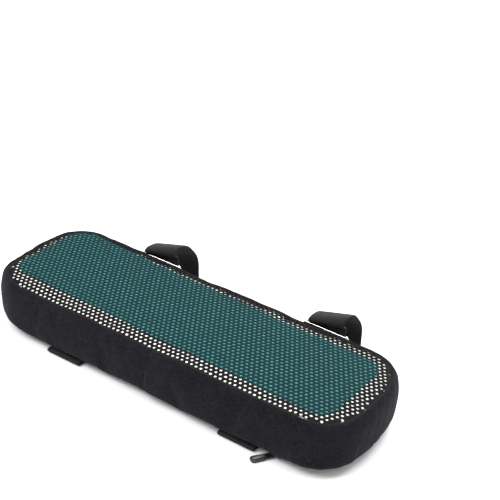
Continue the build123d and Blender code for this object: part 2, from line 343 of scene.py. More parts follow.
def blend_values(made, first, second, operation="ADD"):
    """Two textures put together by one math node; a plain number may stand for the second."""
    node = add(made, "ShaderNodeMath", operation=operation)
    link(made, first, node.inputs[0])
    if isinstance(second, (int, float)):
        node.inputs[1].default_value = second
    else:
        link(made, second, node.inputs[1])
    return node.outputs[0]


def weighted(made, main, main_share, other):
    """Two textures added, the main one with its share and the other with the rest."""
    main_part = blend_values(made, main, main_share, "MULTIPLY")
    other_part = blend_values(made, other, round(1 - main_share, 4), "MULTIPLY")
    return blend_values(made, main_part, other_part)


def bump(made, height, distance, strength=1.0):
    """Bump of a height texture, in metres."""
    node = add(made, "ShaderNodeBump", Strength=strength, Distance=distance)
    link(made, height, node.inputs["Height"])
    link(made, node.outputs["Normal"], shader_inputs(made)["Normal"])


def roughness_range(made, factor, low, high):
    """Roughness that varies over the surface."""
    node = add(made, "ShaderNodeMapRange")
    node.inputs["To Min"].default_value = low
    node.inputs["To Max"].default_value = high
    link(made, factor, node.inputs["Value"])
    link(made, node.outputs["Result"], shader_inputs(made)["Roughness"])


WAVES_PER_UNIT_SCALE = 3.1831


def wave(made, vector, per_metre, direction="X"):
    """Parallel ridges; per_metre is how many there are in a metre."""
    scale = per_metre / WAVES_PER_UNIT_SCALE
    texture = add(made, "ShaderNodeTexWave", wave_type="BANDS", bands_direction=direction, Scale=scale)
    texture.inputs["Distortion"].default_value = 0.0
    link(made, vector, texture.inputs["Vector"])
    return texture.outputs["Fac"]


def plush_material():
    """Short black velour: a dense nap with soft crushed patches."""
    made = material("plush_velour", (0.020, 0.020, 0.024), 0.92, Sheen_Weight=0.06, Sheen_Roughness=0.45)
    shader_inputs(made)["Sheen Tint"].default_value = (0.62, 0.62, 0.72, 1)
    shader_inputs(made)["Specular IOR Level"].default_value = 0.08
    nap = noise(made, 2600, 2.0, 0.6)
    tufts = noise(made, 700, 3.0, 0.6)
    patches = noise(made, 55, 2.0, 0.5)
    tone = weighted(made, tufts, 0.7, patches)
    two_tone(made, tone, (0.0030, 0.0030, 0.0041), (0.0108, 0.0107, 0.0146), 0.34, 0.66)
    height = blend_values(made, nap, tufts)
    bump(made, height, 0.35 * MM, 0.75)
    return made


def net_material():
    """Black knitted net, with the gel's colour showing through it."""
    made = material("spacer_net", (0.01, 0.01, 0.011), 0.7, Specular_IOR_Level=0.10)
    zone = add(made, "ShaderNodeAttribute", attribute_name="gel_zone")
    fibre = noise(made, 1800, 2.0)
    mix = add(made, "ShaderNodeMix", data_type="RGBA")
    mix.inputs["A"].default_value = (0.0050, 0.0050, 0.0056, 1)
    mix.inputs["B"].default_value = (0.0006, 0.032, 0.035, 1)
    link(made, zone.outputs["Fac"], mix.inputs["Factor"])
    shade = add(made, "ShaderNodeMix", data_type="RGBA", blend_type="MULTIPLY")
    shade.inputs["Factor"].default_value = 0.6
    link(made, mix.outputs["Result"], shade.inputs["A"])
    link(made, fibre, shade.inputs["B"])
    link(made, shade.outputs["Result"], shader_inputs(made)["Base Color"])
    bump(made, fibre, 0.08 * MM, 0.6)
    return made


def gel_material():
    """Soft teal gel with a faint mottle."""
    made = material("teal_gel", (0.08, 0.25, 0.24), 0.6, Specular_IOR_Level=0.25)
    mottle = noise(made, 220, 3.0)
    two_tone(made, mottle, (0.036, 0.134, 0.137), (0.080, 0.205, 0.208))
    bump(made, noise(made, 500, 2.0), 0.1 * MM, 0.4)
    return made


def foam_material():
    """Cream open-cell foam."""
    made = material("cream_foam", (0.86, 0.83, 0.75), 0.9)
    place = object_coordinates(made)
    cells = add(made, "ShaderNodeTexVoronoi", Scale=1500)
    link(made, place, cells.inputs["Vector"])
    two_tone(made, cells.outputs["Distance"], (0.98, 0.97, 0.93), (0.86, 0.84, 0.77), 0.35, 0.9)
    bump(made, cells.outputs["Distance"], 0.15 * MM, 0.5)
    return made


def knit_material():
    """Dark knitted base fabric: fine ribs in both directions."""
    made = material("base_knit", (0.012, 0.012, 0.012), 0.85, Specular_IOR_Level=0.15)
    place = object_coordinates(made)
    courses = wave(made, place, 1150, "X")
    wales = wave(made, place, 850, "Y")
    weave = blend_values(made, courses, wales, "MULTIPLY")
    fuzz = noise(made, 900, 3.0)
    tone = weighted(made, weave, 0.6, fuzz)
    two_tone(made, tone, (0.005, 0.005, 0.0052), (0.026, 0.026, 0.026), 0.15, 0.75)
    bump(made, weave, 0.25 * MM, 0.8)
    return made


def silicone_material():
    """Clear silicone, slightly cloudy."""
    made = material("clear_silicone", (0.42, 0.42, 0.41), 0.28, Coat_Weight=0.3, Coat_Roughness=0.2)
    two_tone(made, noise(made, 160, 2.0), (0.30, 0.30, 0.295), (0.56, 0.56, 0.55))
    bump(made, noise(made, 1500, 2.0), 0.03 * MM, 0.4)
    return made


def webbing_material(name, light):
    """Ribbed elastic webbing; the weave follows the web's own length and width."""
    made = material(name, (light, light, light), 0.8, Sheen_Weight=0.05, Specular_IOR_Level=0.18)
    along = add(made, "ShaderNodeAttribute", attribute_name="weave")
    ribs = wave(made, along.outputs["Vector"], 1250, "X")
    cords = wave(made, along.outputs["Vector"], 980, "Y")
    weave = blend_values(made, ribs, cords, "MULTIPLY")
    fuzz = noise(made, 1400, 3.0)
    tone = weighted(made, weave, 0.65, fuzz)
    two_tone(made, tone, (light * 0.45,) * 3, (light * 1.9, light * 1.9, light * 1.95), 0.15, 0.8)
    bump(made, weave, 0.22 * MM, 0.85)
    return made


def metal_material(name, color, low, high, metallic=1.0):
    """Polished or enamelled metal with faint wear in its gloss."""
    made = material(name, color, low, Metallic=metallic)
    worn = noise(made, 420, 4.0, 0.65)
    roughness_range(made, worn, low, high)
    bump(made, noise(made, 2400, 2.0), 0.01 * MM, 0.25)
    return made


def plastic_material(name, dark, light, low, high, grain):
    """Moulded plastic with a fine grain."""
    made = material(name, light, high)
    two_tone(made, noise(made, 300, 3.0), dark, light)
    roughness_range(made, noise(made, 600, 2.0), low, high)
    bump(made, noise(made, 2600, 2.0), grain, 0.5)
    return made


def cord_material(name, light):
    """Seam cord or thread: tight twisted yarn."""
    made = material(name, (light,) * 3, 0.8, Specular_IOR_Level=0.12)
    yarn = noise(made, 1900, 2.0)
    two_tone(made, yarn, (light * 0.5,) * 3, (light * 1.8,) * 3)
    bump(made, yarn, 0.2 * MM, 0.8)
    return made


PLUSH = plush_material()
NET = net_material()
GEL = gel_material()
FOAM = foam_material()
KNIT = knit_material()
SILICONE = silicone_material()
WEBBING = webbing_material("elastic_webbing", 0.011)
NICKEL = metal_material("bright_nickel", (0.66, 0.65, 0.64), 0.12, 0.26)
ENAMEL = metal_material("black_enamel", (0.030, 0.030, 0.033), 0.25, 0.42, metallic=0.6)
GRIP = plastic_material("pull_plastic", (0.008, 0.008, 0.009), (0.020, 0.020, 0.021), 0.4, 0.6, 0.05 * MM)
INLAY = plastic_material("pull_inlay", (0.10, 0.10, 0.105), (0.17, 0.17, 0.175), 0.35, 0.5, 0.04 * MM)
COIL = plastic_material("nylon_coil", (0.012, 0.012, 0.013), (0.035, 0.035, 0.037), 0.3, 0.5, 0.03 * MM)
TAPE = cord_material("zip_tape_weave", 0.008)
SEAM = cord_material("seam_yarn", 0.007)


# ---------------- the stuffed form
RIM_PER_QUARTER = 84
RIM_COUNT = 4 * RIM_PER_QUARTER
RIM_XY, RIM_NORMAL = WIDEST.rim(RIM_PER_QUARTER)
BASE_XY, BASE_NORMAL = BASE.rim(RIM_PER_QUARTER)
CAP_SHARES = [0.06, 0.14, 0.24, 0.34, 0.45, 0.56, 0.67, 0.78, 0.89, 0.975]
CROWN = 1.0 * MM
# Boxing rows, bottom seam to top seam: inset in mm, share of the height, share of the base's outline,
# share of the tuck at the closed end
BOXING_PROFILE = [
    (3.0, 0.0, 1.0, 1.0), (1.3, 0.02, 0.60, 0.86), (0.5, 0.08, 0.30, 0.66), (0.25, 0.18, 0.12, 0.46),
    (0.2, 0.31, 0.04, 0.28), (0.2, 0.46, 0.0, 0.14), (0.25, 0.59, 0.0, 0.05), (0.4, 0.71, 0.0, 0.0),
    (0.7, 0.82, 0.0, 0.0), (1.3, 0.91, 0.0, 0.0), (2.2, 0.97, 0.0, 0.0), (3.4, 1.0, 0.0, 0.0),
]
BOXING_ROWS = len(BOXING_PROFILE)


BULGE_HEADING = np.array((0.6, -0.8))
CORNER_BULGE = 6.0 * MM
LIFT_START_X = -20 * MM
LIFT = 2.2 * MM


def top_lift(xy):
    """How much higher the top sits towards the closed end, most of all on the buckle side."""
    along = np.clip((LIFT_START_X - xy[:, 0]) / (HALF_LENGTH + LIFT_START_X), 0, 1)
    across = np.clip(0.5 + xy[:, 1] / (2 * HALF_WIDTH), 0, 1)
    return LIFT * along**1.5 * (0.25 + 0.75 * across)


def form_vertices():
    """Rings from the bottom's middle line, out to the bottom seam, up the side and in over the top."""
    low_z = BASE_Z + 0.3 * MM
    rings = []
    bottom = tucked(BASE_XY - BASE_NORMAL * BOTTOM_SEAM_INSET)
    facing = np.clip(RIM_NORMAL @ BULGE_HEADING, 0, 1) ** 4
    for ring_xy in reversed(cap_rings(bottom, CAP_SHARES)):
        rings.append(np.column_stack([ring_xy, np.full(RIM_COUNT, low_z)]))
    for inset, share, base_share, tuck_share in BOXING_PROFILE:
        wide = RIM_XY - RIM_NORMAL * inset * MM
        base = BASE_XY - BASE_NORMAL * inset * MM
        ring_xy = tucked(wide * (1 - base_share) + base * base_share, TUCK_DEPTH * tuck_share)
        bulge = CORNER_BULGE * tuck_share * (1 - base_share) * facing * (RIM_XY[:, 0] > 0)
        ring_xy += RIM_NORMAL * bulge[:, None]
        height = low_z + share * (SEAM_TOP_Z + top_lift(ring_xy) - low_z)
        rings.append(np.column_stack([ring_xy, height]))
    top = RIM_XY - RIM_NORMAL * TOP_SEAM_INSET
    for share, ring_xy in zip(CAP_SHARES, cap_rings(top, CAP_SHARES)):
        height = SEAM_TOP_Z + top_lift(ring_xy) + CROWN * (1 - (1 - share) ** 2.4)
        rings.append(np.column_stack([ring_xy, height]))
    return np.concatenate(rings)


CAP_ROWS = len(CAP_SHARES)
BOTTOM_SEAM_ROW = CAP_ROWS
TOP_SEAM_ROW = CAP_ROWS + BOXING_ROWS - 1
FORM_ROWS = 2 * CAP_ROWS + BOXING_ROWS


def row_indices(row):
    """Indices of one ring of the form."""
    return list(range(row * RIM_COUNT, (row + 1) * RIM_COUNT))


def stuffed_form():
    """The closed cover, swollen by pressure between its two sewn seams."""
    vertices = form_vertices()
    faces = grid_faces(FORM_ROWS, RIM_COUNT)
    faces += spine_faces(0, RIM_COUNT)
    faces += spine_faces((FORM_ROWS - 1) * RIM_COUNT, RIM_COUNT)
    form = outward(new_mesh("stuffed_form", vertices, faces))
    swollen = vertices.copy()
    swollen = pressurise(form, vertices)
    bpy.data.objects.remove(form)
    return swollen + seam_ripple(swollen), faces


CLOTH_FRAMES = 20
SIDE_SWELL = 1.3 * MM
BASE_SWELL = 0.3 * MM
TOP_SWELL = 1.2 * MM
BASE_PIN = 0.6


def pressurise(form, vertices):
    """Cloth with pressure and pinned seams, run frame by frame, each point's move capped."""
    seams = form.vertex_groups.new(name="seams")
    seams.add(row_indices(BOTTOM_SEAM_ROW) + row_indices(TOP_SEAM_ROW), 1.0, "REPLACE")
    flat = [i for row in range(BOTTOM_SEAM_ROW) for i in row_indices(row)]
    seams.add(flat, BASE_PIN, "REPLACE")
    cloth = form.modifiers.new("pressure", "CLOTH")
    cloth.settings.vertex_group_mass = "seams"
    cloth.settings.use_pressure = True
    cloth.settings.uniform_pressure_force = 4.0
    cloth.settings.effector_weights.gravity = 0.0
    cloth.settings.tension_stiffness = 12.0
    cloth.settings.compression_stiffness = 12.0
    cloth.settings.bending_stiffness = 0.4
    cloth.settings.shrink_min = -0.015
    cloth.settings.quality = 6
    cloth.collision_settings.use_collision = False
    scene = bpy.context.scene
    for step in range(1, CLOTH_FRAMES + 1):
        scene.frame_set(step)
    graph = bpy.context.evaluated_depsgraph_get()
    settled = form.evaluated_get(graph).to_mesh()
    moved = np.zeros(len(vertices) * 3)
    settled.vertices.foreach_get("co", moved)
    form.modifiers.clear()
    scene.frame_set(1)
    move = moved.reshape(-1, 3) - vertices
    length = np.linalg.norm(move, axis=1)
    limit = np.full(len(vertices), SIDE_SWELL)
    limit[:(BOTTOM_SEAM_ROW + 1) * RIM_COUNT] = BASE_SWELL
    limit[(TOP_SEAM_ROW + 1) * RIM_COUNT:] = TOP_SWELL
    soft = limit * np.tanh(length / limit)
    return vertices + move * (soft / np.maximum(length, 1e-9))[:, None]


# Waves along the seams: how many go round the rim, height in mm, phase
SEAM_WAVES = [(9, 0.30, 0.4), (17, 0.16, 2.1), (31, 0.10, 4.0), (53, 0.05, 1.2)]


def seam_ripple(vertices):
    """The hand-sewn unevenness of the seams: slow waves along the rim, strongest at the top seam."""
    along = np.tile(np.arange(RIM_COUNT) / RIM_COUNT * 2 * pi, FORM_ROWS)
    rows = np.repeat(np.arange(FORM_ROWS), RIM_COUNT)
    near_top = np.exp(-((rows - TOP_SEAM_ROW) / 2.6) ** 2)
    on_side = (rows > BOTTOM_SEAM_ROW) & (rows < TOP_SEAM_ROW)
    waves = np.zeros(len(vertices))
    for count, size, phase in SEAM_WAVES:
        waves += size * MM * np.sin(count * along + phase)
    pucker = 0.10 * MM * np.sin(71 * along + rows * 0.9) * on_side
    normal = np.tile(RIM_NORMAL, (FORM_ROWS, 1))
    ripple = np.zeros_like(vertices)
    ripple[:, :2] = normal * (0.5 * waves * near_top + pucker)[:, None]
    ripple[:, 2] = waves * near_top
    return ripple


FORM_POINTS, FORM_FACES = stuffed_form()
TOP_FACES = [face for face in FORM_FACES if min(face) >= TOP_SEAM_ROW * RIM_COUNT]
TOP_TREE = BVHTree.FromPolygons([tuple(p) for p in FORM_POINTS], TOP_FACES)


def top_height(x, y):
    """Height of the stretched top at a point."""
    hit = TOP_TREE.ray_cast(Vector((x, y, 0.1)), Vector((0, 0, -1)))[0]
    return hit.z if hit else SEAM_TOP_Z


# ---------------- boxing, core and welts
ZIP_START_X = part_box("zipper_tape_outer")[0].x
GROOVE_INSET = 10.0 * MM
GROOVE_TOP_Z = 4.6 * MM
SEAM_GROOVE_REACH = 0.8 * MM
SEAM_GROOVE_DEPTH = 0.45 * MM
CORE_TOP_GAP = 0.42 * MM
CORE_SIDE_GAP = 1.25 * MM
CORE_BASE_GAP = 0.9 * MM
TOP_WELT_RADIUS = 0.85 * MM
BOTTOM_WELT_RADIUS = 0.75 * MM
BOTTOM_WELT_INSET = 3.1 * MM


def boxing_sheet(name, columns):
    """The form's side between the two seams, over that run of rim columns and out to x = 0."""
    points = []
    for row in range(BOTTOM_SEAM_ROW, TOP_SEAM_ROW + 1):
        ring_points = FORM_POINTS[row_indices(row)]
        first = (ring_points[columns[0]] + ring_points[columns[0] - 1]) / 2
        last = (ring_points[columns[-1]] + ring_points[(columns[-1] + 1) % RIM_COUNT]) / 2
        points += [first, *ring_points[columns], last]
    return new_mesh(name, points, grid_faces(BOXING_ROWS, len(columns) + 2, closed_columns=False))


def make_boxing(name, columns, node):
    """One length of the plush boxing: a rolled sheet with thickness, drawn in at its end seams."""
    sheet = boxing_sheet(name, columns)
    subdivide = sheet.modifiers.new("smooth", "SUBSURF")
    subdivide.levels = subdivide.render_levels = 2
    apply_modifiers(sheet)
    for vertex in sheet.data.vertices:
        closeness = np.exp(-((vertex.co.x / SEAM_GROOVE_REACH) ** 2))
        vertex.co.y -= SEAM_GROOVE_DEPTH * closeness * (1 if vertex.co.y > 0 else -1)
    thickness = sheet.modifiers.new("thickness", "SOLIDIFY")
    thickness.thickness = 1.0 * MM
    thickness.offset = -1.0
    apply_modifiers(sheet)
    outward(sheet)
    sheet.data.polygons.foreach_set("use_smooth", [True] * len(sheet.data.polygons))
    finish_piece(sheet, PLUSH, [node])


def make_core():
    """The foam block: the whole form, drawn in under the cover."""
    core = new_mesh("foam_block", FORM_POINTS, FORM_FACES)
    outward(core)
    normals = np.array([v.normal for v in core.data.vertices])
    rows = np.repeat(np.arange(FORM_ROWS), RIM_COUNT)
    depth = np.where(rows > TOP_SEAM_ROW, CORE_TOP_GAP, CORE_SIDE_GAP)
    depth = np.where(rows < BOTTOM_SEAM_ROW, CORE_BASE_GAP, depth)
    points = FORM_POINTS - normals * depth[:, None]
    inset, _ = BASE.inset_and_normal(points[:, :2])
    over_zipper = (points[:, 0] > ZIP_START_X - 1.0 * MM) & (inset < GROOVE_INSET)
    points[:, 2] = np.where(over_zipper, np.maximum(points[:, 2], GROOVE_TOP_Z), points[:, 2])
    core.data.vertices.foreach_set("co", points.ravel())
    core.data.update()
    finish_piece(core, FOAM, ["foam_core"])


def make_top_welt():
    """The turned seam ridge between the net and the boxing."""
    ring_points = FORM_POINTS[row_indices(TOP_SEAM_ROW)]
    steps = 3
    dense = []
    for here, following in zip(ring_points, np.roll(ring_points, -1, 0)):
        for step in range(steps):
            dense.append(here + (following - here) * step / steps)
    dense = np.array(dense)
    lumps = 0.05 * MM * np.sin(np.arange(len(dense)) * 1.9)
    dense[:, 2] += 0.05 * MM + lumps
    welt = tube("top_seam_ridge", dense, TOP_WELT_RADIUS, 10, closed=True, flatten=0.8)
    finish_piece(welt, SEAM, ["top_seam_welt"])


def make_bottom_welt():
    """The bottom seam, open at the zipped end."""
    ring_xy = tucked(BASE_XY - BASE_NORMAL * BOTTOM_WELT_INSET)
    from_zipped_end = [*range(RIM_PER_QUARTER, RIM_COUNT), *range(RIM_PER_QUARTER)]
    points = [(*ring_xy[i], BASE_Z + 0.15 * MM) for i in from_zipped_end if ring_xy[i][0] < ZIP_START_X]
    welt = tube("bottom_seam_ridge", points, BOTTOM_WELT_RADIUS, 8, flatten=0.8)
    finish_piece(welt, SEAM, ["bottom_seam_welt"])


# ---------------- net, gel
NET_PITCH = 3.2 * MM
NET_ROW = NET_PITCH * sqrt(3) / 2
HOLE_RADIUS = 0.84 * MM
NET_EDGE_INSET = 3.3 * MM
NET_HOLE_INSET = 5.3 * MM
GEL_LOW, GEL_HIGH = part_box("gel_sheet")
GEL_TILT = radians(-1.7)
GEL_CENTRE = (GEL_LOW + GEL_HIGH) / 2 + Vector((0, 0.7 * MM, 0))
GEL_HALF = ((GEL_HIGH.x - GEL_LOW.x) / 2 - 0.62 * MM, (GEL_HIGH.y - GEL_LOW.y) / 2 - 4.6 * MM)
GEL_CORNER = 11 * MM
GEL_EDGE_INSET = 5.2 * MM
GEL_SPINE = 75 * MM
GEL_REACH = 140 * MM
GEL_DEPTH = 1.6 * MM
HALVINGS = 30
# Rings of the gel from its edge inwards: share of the way to the middle line, depth in mm
GEL_RINGS = [(0.0, 0.46), (0.012, 0.30)]
GEL_RINGS += [(share, 0.25) for share in (0.05, 0.12, 0.22, 0.34, 0.46, 0.58, 0.70, 0.82, 0.92, 0.985)]


def gel_distance(xy):
    """How far outside the gel sheet's outline each point lies; negative is inside."""
    turned = (xy - (GEL_CENTRE.x, GEL_CENTRE.y)) @ np.array(
        [[cos(GEL_TILT), -sin(GEL_TILT)], [sin(GEL_TILT), cos(GEL_TILT)]]
    )
    beyond = np.abs(turned) - (np.array(GEL_HALF) - GEL_CORNER)
    outside = np.hypot(*np.maximum(beyond, 0).T) + np.minimum(beyond.max(1), 0) - GEL_CORNER
    inset, _ = WIDEST.inset_and_normal(xy)
    return np.maximum(outside, GEL_EDGE_INSET - inset)


def net_cells():
    """Centres of the net's hexagonal cells over the whole top."""
    rows = int(HALF_WIDTH / NET_ROW) + 1
    columns = int(HALF_LENGTH / NET_PITCH) + 1
    centres = []
    for row in range(-rows, rows + 1):
        for column in range(-columns, columns + 1):
            centres.append((column * 4 + 2 * (row % 2), row * 6))
    centres = np.array(centres)
    xy = centres * (NET_PITCH / 4, NET_ROW / 6)
    inset, _ = WIDEST.inset_and_normal(xy)
    kept = inset > NET_EDGE_INSET - 0.3 * MM
    return centres[kept], xy[kept], inset[kept]


# A cell's corners and the middles of its sides, in quarters of the pitch and sixths of a row
CELL_CORNERS = [
    (2, 0), (2, 2), (1, 3), (0, 4), (-1, 3), (-2, 2),
    (-2, 0), (-2, -2), (-1, -3), (0, -4), (1, -3), (2, -2),
]
# Rings of a strand from the cell's edge to under the hole: share of the way, height in mm
STRAND_PROFILE = [(0.55, 0.15), (1.0, 0.0), (1.0, -0.16)]


def make_net():
    """The top panel: a knitted net of round holes, each cell with rounded strands."""
    centres, centre_xy, centre_inset = net_cells()
    sides = len(CELL_CORNERS)
    shared = {}
    points = []
    heights = []
    faces = []
    angles = [atan2(key[1] * NET_ROW / 6, key[0] * NET_PITCH / 4) for key in CELL_CORNERS]

    def add_point(x, y, height):
        points.append((x, y))
        heights.append(height)
        return len(points) - 1

    for centre, xy, inset in zip(centres, centre_xy, centre_inset):
        boundary = []
        for key in CELL_CORNERS:
            place = (centre[0] + key[0], centre[1] + key[1])
            if place not in shared:
                shared[place] = add_point(place[0] * NET_PITCH / 4, place[1] * NET_ROW / 6, 0.20 * MM)
            boundary.append(shared[place])
        if inset < NET_HOLE_INSET:
            middle = add_point(xy[0], xy[1], 0.12 * MM)
            for i in range(sides):
                faces.append((boundary[i], boundary[(i + 1) % sides], middle))
            continue
        hole = HOLE_RADIUS * RANDOM.uniform(0.93, 1.05)
        off_x, off_y = RANDOM.normal(0, 0.05 * MM, 2)
        previous = boundary
        for share, height in STRAND_PROFILE:
            current = []
            for key, angle in zip(CELL_CORNERS, angles):
                edge_x = key[0] * NET_PITCH / 4
                edge_y = key[1] * NET_ROW / 6
                hole_x = hole * 1.04 * cos(angle) + off_x
                hole_y = hole * 0.97 * sin(angle) + off_y
                x = xy[0] + edge_x * (1 - share) + hole_x * share
                y = xy[1] + edge_y * (1 - share) + hole_y * share
                current.append(add_point(x, y, height * MM))
            for i in range(sides):
                j = (i + 1) % sides
                faces.append((previous[i], previous[j], current[j], current[i]))
            previous = current
    plan = np.array(points)
    inset, normal = WIDEST.inset_and_normal(plan)
    excess = np.maximum(NET_EDGE_INSET - inset, 0)
    plan -= normal * excess[:, None]
    vertices = [(x, y, top_height(x, y) + h) for (x, y), h in zip(plan, heights)]
    net = new_mesh("mesh_top", vertices, faces)
    zone = net.data.attributes.new("gel_zone", "FLOAT", "POINT")
    inside = np.clip(0.5 - gel_distance(plan) / (2.0 * MM), 0, 1)
    zone.data.foreach_set("value", inside.astype(np.float32))
    finish_piece(net, NET, ["mesh_top_panel"])


def make_gel():
    """The gel sheet, just under the net, as a closed slab with a soft edge."""
    count = 360
    directions = np.linspace(0, 2 * pi, count, endpoint=False)
    heading = np.column_stack([np.cos(directions), np.sin(directions)])
    spine_x = np.clip(HALF_LENGTH * heading[:, 0], -GEL_SPINE, GEL_SPINE)
    start = np.column_stack([spine_x, np.zeros(count)])
    low, high = np.zeros(count), np.full(count, GEL_REACH)
    for _ in range(HALVINGS):
        reach = (low + high) / 2
        outside = gel_distance(start + heading * reach[:, None]) > 0
        high = np.where(outside, reach, high)
        low = np.where(outside, low, reach)
    edge = start + heading * reach[:, None]
    vertices = []
    for share, depth in GEL_RINGS:
        for x, y in edge * (1 - share) + start * share:
            vertices.append((x, y, top_height(x, y) - depth * MM))
    last = (len(GEL_RINGS) - 1) * count
    faces = grid_faces(len(GEL_RINGS), count) + [tuple(range(last, last + count))]
    gel = slab("gel_layer", vertices, faces, count, -GEL_DEPTH)
    finish_piece(gel, GEL, ["gel_sheet"])


# ---------------- base panel and grip dots
PANEL_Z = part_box("bottom_panel")[0].z
PANEL_INSET = 3.4 * MM
PANEL_THICKNESS = 0.8 * MM
ZIP_PANEL_INSET = HALF_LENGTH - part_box("zipper_tape_inner")[1].x + 1.0 * MM


def make_base_panel():
    """The knit base, narrower beside the zipper."""
    steps = np.clip((BASE_XY[:, 0] - ZIP_START_X) / (2.5 * MM), 0, 1)
    inset = PANEL_INSET + (ZIP_PANEL_INSET - PANEL_INSET) * steps
    edge = tucked(BASE_XY - BASE_NORMAL * inset[:, None])
    shares = [0.0, 0.01] + CAP_SHARES
    rings = cap_rings(edge, shares)
    heights = [PANEL_Z + 0.35 * MM] + [PANEL_Z] * (len(shares) - 1)
    vertices = []
    for ring_xy, height in zip(rings, heights):
        sway = 0.10 * MM * np.sin(ring_xy[:, 0] * 70) * np.cos(ring_xy[:, 1] * 95)
        vertices += list(np.column_stack([ring_xy, height + np.abs(sway)]))
    faces = grid_faces(len(shares), RIM_COUNT)
    faces += spine_faces(len(vertices) - RIM_COUNT, RIM_COUNT)
    panel = slab("base_panel", vertices, faces, RIM_COUNT, PANEL_THICKNESS)
    finish_piece(panel, KNIT, ["bottom_panel"])


DOT_PITCH_X = 4.3 * MM
DOT_PITCH_Y = 3.0 * MM
DOT_SIDES = 8
DOT_MARGIN = 1.4 * MM
# Rings of a dot: radius in mm, share of its height
DOT_PROFILE = [(0.62, 0.0), (0.52, 0.55), (0.28, 0.92)]


def make_grip_dots():
    """Small printed silicone domes in staggered rows."""
    height = PANEL_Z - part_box("grip_dots")[0].z
    root_z = PANEL_Z + 0.1 * MM
    vertices = []
    faces = []
    rows = int(HALF_WIDTH / DOT_PITCH_Y)
    columns = int(HALF_LENGTH / DOT_PITCH_X)
    for row in range(-rows, rows + 1):
        for column in range(-columns, columns + 1):
            x = column * DOT_PITCH_X + DOT_PITCH_X / 2 * (row % 2)
            y = row * DOT_PITCH_Y
            flat_x = x - TUCK_DEPTH if x < TUCK_START_X else x
            inset, _ = BASE.inset_and_normal(np.array([(flat_x, y)]))
            margin = ZIP_PANEL_INSET if x > ZIP_START_X - 2 * MM else PANEL_INSET
            if inset[0] < margin + DOT_MARGIN:
                continue
            size = RANDOM.uniform(0.85, 1.1)
            first = len(vertices)
            for radius, rise in DOT_PROFILE:
                reach = radius * size * MM
                z = root_z - rise * height * 0.8
                for step in range(DOT_SIDES):
                    angle = 2 * pi * step / DOT_SIDES
                    vertices.append((x + reach * cos(angle), y + reach * sin(angle), z))
            tip = len(vertices)
            vertices.append((x, y, root_z - height * 0.85))
            faces += [tuple(first + v for v in face) for face in grid_faces(len(DOT_PROFILE), DOT_SIDES)]
            last = first + (len(DOT_PROFILE) - 1) * DOT_SIDES
            faces += [(last + i, last + (i + 1) % DOT_SIDES, tip) for i in range(DOT_SIDES)]
            faces.append(tuple(first + i for i in range(DOT_SIDES)))
    dots = outward(new_mesh("silicone_dots", vertices, faces))
    finish_piece(dots, SILICONE, ["grip_dots"])


# ---------------- zipper
CHAIN_RIM_PER_QUARTER = 700


def chain_line(inset, start_x, step):
    """Plan points along the zipper's U at that inset, from the near side round the end."""
    points, normals = BASE.rim(CHAIN_RIM_PER_QUARTER)
    line = points - normals * inset
    kept = np.where(line[:, 0] > start_x)[0]
    line, normals = line[kept], normals[kept]
    order = np.argsort(np.arctan2(line[:, 1], line[:, 0] - start_x))
    line, normals = line[order], normals[order]
    run = distance_along(line)
    stations = np.arange(0, run[-1], step)
    columns = [np.interp(stations, run, values) for values in (*line.T, *normals.T)]
    return np.column_stack(columns[:2]), np.column_stack(columns[2:]), stations


COIL_LOW, COIL_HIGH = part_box("zipper_coil_outer")
INNER_COIL_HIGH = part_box("zipper_coil_inner")[1]
CHAIN_START_X = COIL_LOW.x
COIL_PITCH = 1.25 * MM
COIL_REACH = 0.85 * MM
COIL_RISE = 0.5 * MM
COIL_WIRE = 0.27 * MM
COIL_OVERLAP = 1.2 * MM
STATIONS_PER_TURN = 10


def make_coil(name, side, node):
    """One nylon coil: a flattened helix whose turns reach over the middle of the chain."""
    centre_inset = (HALF_LENGTH - COIL_HIGH.x + HALF_LENGTH - INNER_COIL_HIGH.x + COIL_OVERLAP) / 2
    line, normals, stations = chain_line(centre_inset, CHAIN_START_X, COIL_PITCH / STATIONS_PER_TURN)
    turn = stations / COIL_PITCH * 2 * pi + (pi if side > 0 else 0)
    offset = side * (COIL_REACH + COIL_REACH * np.cos(turn))
    height = (COIL_LOW.z + COIL_HIGH.z) / 2 + COIL_RISE * np.sin(turn)
    plan = line + normals * offset[:, None]
    coil = tube(name, np.column_stack([plan, height]), COIL_WIRE, 6)
    finish_piece(coil, COIL, [node])


TAPE_STATIONS = 220
TAPE_SHARES = (0.0, 0.33, 0.66, 1.0)


def make_tape(name, node, inner_inset, outer_inset):
    """One woven zipper tape between two insets."""
    tape_low, tape_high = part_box(node)
    run = np.linspace(0, 1, TAPE_STATIONS)
    height = np.full(TAPE_STATIONS, (tape_low.z + tape_high.z) / 2)
    rows = []
    for share in TAPE_SHARES:
        inset = outer_inset + (inner_inset - outer_inset) * share
        line, _, _ = chain_line(inset, ZIP_START_X, 1.0 * MM)
        base = np.linspace(0, 1, len(line))
        plan = [np.interp(run, base, values) for values in line.T]
        rows.append(np.column_stack([*plan, height]))
    faces = grid_faces(len(TAPE_SHARES), TAPE_STATIONS, closed_columns=False)
    strip = new_mesh(name, np.concatenate(rows), faces)
    thickness = strip.modifiers.new("thickness", "SOLIDIFY")
    thickness.thickness = 0.5 * MM
    thickness.offset = 0.0
    apply_modifiers(strip)
    outward(strip)
    finish_piece(strip, TAPE, [node])


GRIP_START = 6.4 * MM
GRIP_LENGTH = 9.7 * MM
GRIP_HALF_WIDTH = 2.4 * MM
GRIP_POINTS = 64
# Rings of the grip and of its inlay: width as a share of the outline's, height in mm
GRIP_PROFILE = [
    (0.80, -0.931), (0.93, -0.784), (1.0, -0.343), (1.0, 0.343), (0.93, 0.784), (0.80, 0.931),
]
INLAY_PROFILE = [(0.38, -0.969), (0.42, -0.855), (0.42, 0.855), (0.38, 0.969)]
INLAY_EXTRA_LENGTH = 0.34


